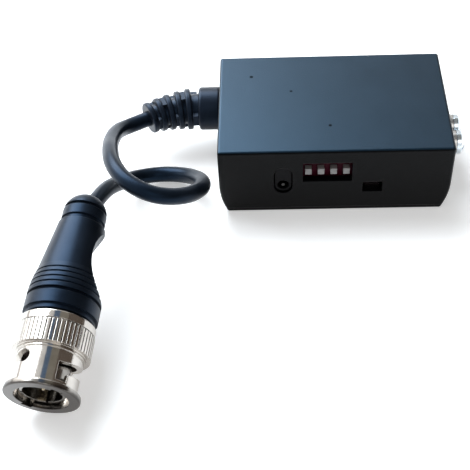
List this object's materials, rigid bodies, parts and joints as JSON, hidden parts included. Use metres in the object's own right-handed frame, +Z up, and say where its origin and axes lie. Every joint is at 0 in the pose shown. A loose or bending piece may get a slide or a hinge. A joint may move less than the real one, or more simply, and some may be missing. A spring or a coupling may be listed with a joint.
{
  "type": "cctv video balun",
  "caption": "Black active video balun with a bayonet coax plug on a short looped lead, power socket, switch bank and two screw terminals.",
  "frame": {"origin": "on the table, under the middle of the case with its terminals, the lead and plug left out", "axes": "+X from the lead's end of the case to the line terminals, +Y from the switch face to the back face, +Z up"},
  "size_m": [0.0872, 0.0822, 0.0204],
  "materials": {
    "black_case": "fine matt grain, dark blue-black",
    "black_base": "fine matt grain, dark blue-black",
    "boot_pvc": "satin moulded PVC",
    "lead_pvc": "smooth glossy PVC",
    "nickel": "bright nickel plate",
    "tinned_steel": "zinc plated steel",
    "switch_red": "dark red moulded",
    "switch_black": "black moulded",
    "lever_white": "white moulded",
    "socket_black": "black moulded",
    "gold": "gold flashed",
    "lens": "dark diffused lens",
    "board": "green solder resist",
    "epoxy": "black epoxy",
    "ferrite": "bare ferrite",
    "copper": "enamelled copper",
    "can": "bare aluminium can",
    "chips": "ceramic chip parts",
    "dielectric": "white dielectric",
    "braid": "copper braid",
    "silicone": "silicone rubber"
  },
  "bodies": {
    "balun": {"top_cover": "black_case", "base_plate": "black_base", "case_screws": "tinned_steel", "circuit_board": "board", "board_screws": "tinned_steel", "power_socket": "socket_black", "power_socket_pin": "nickel", "power_socket_spring": "nickel", "switch_cover": "switch_red", "switch_base": "switch_black", "switch_pins": "gold", "indicator_led": "lens", "terminal_insert": "socket_black", "terminal_posts": "nickel", "balun_header": "epoxy", "balun_core": "ferrite", "balun_windings": "copper", "amplifier_chip": "epoxy", "amplifier_leads": "nickel", "capacitor_1": "can", "capacitor_2": "can", "voltage_regulator": "epoxy", "surge_suppressors": "epoxy", "chip_parts": "chips", "strain_relief": "boot_pvc", "lead_jacket": "lead_pvc", "lead_core": "dielectric", "lead_braid": "braid", "cable": "lead_pvc", "plug_body": "nickel", "plug_insulator": "dielectric", "center_pin": "gold", "mouth_gasket": "silicone", "wave_spring": "tinned_steel", "retaining_ring": "tinned_steel", "plug_braid": "braid", "crimp_ferrule": "nickel", "plug_lead_core": "dielectric", "plug_lead_jacket": "lead_pvc", "plug_boot": "boot_pvc"},
    "lever_1": {"switch_lever_1": "lever_white"},
    "lever_2": {"switch_lever_2": "lever_white"},
    "lever_3": {"switch_lever_3": "lever_white"},
    "lever_4": {"switch_lever_4": "lever_white"},
    "washer_1": {"clamp_washer_1": "nickel"},
    "screw_1": {"terminal_screw_1": "nickel"},
    "washer_2": {"clamp_washer_2": "nickel"},
    "screw_2": {"terminal_screw_2": "nickel"},
    "thrust": {"thrust_washer": "tinned_steel"},
    "sleeve": {"coupling_sleeve": "nickel"}
  },
  "joints": [
    {"name": "lever_1_slide", "type": "slide", "parent": "balun", "child": "lever_1", "axis": [0, 0, -1], "range_m": [0, 0.0013]},
    {"name": "lever_2_slide", "type": "slide", "parent": "balun", "child": "lever_2", "axis": [0, 0, -1], "range_m": [0, 0.0013]},
    {"name": "lever_3_slide", "type": "slide", "parent": "balun", "child": "lever_3", "axis": [0, 0, -1], "range_m": [0, 0.0013]},
    {"name": "lever_4_slide", "type": "slide", "parent": "balun", "child": "lever_4", "axis": [0, 0, -1], "range_m": [0, 0.0013]},
    {"name": "washer_1_slide", "type": "slide", "parent": "balun", "child": "washer_1", "axis": [1, 0, 0], "range_m": [0, 0.0012]},
    {"name": "screw_1_turn", "type": "hinge", "parent": "washer_1", "child": "screw_1", "pos_m": [0.02345, -0.0036, 0.00765], "axis": [1, 0, 0], "range_deg": [0, 950]},
    {"name": "washer_2_slide", "type": "slide", "parent": "balun", "child": "washer_2", "axis": [1, 0, 0], "range_m": [0, 0.0012]},
    {"name": "screw_2_turn", "type": "hinge", "parent": "washer_2", "child": "screw_2", "pos_m": [0.02345, 0.0015, 0.00765], "axis": [1, 0, 0], "range_deg": [0, 950]},
    {"name": "sleeve_push", "type": "slide", "parent": "balun", "child": "thrust", "axis": [-0.1196, -0.9743, -0.1908], "range_m": [0, 0.00035], "stiffness_N_per_m": 400},
    {"name": "sleeve_turn", "type": "hinge", "parent": "thrust", "child": "sleeve", "pos_m": [-0.055, -0.0654, 0.00668], "axis": [0.1196, 0.9743, 0.1908], "continuous": true}
  ]
}
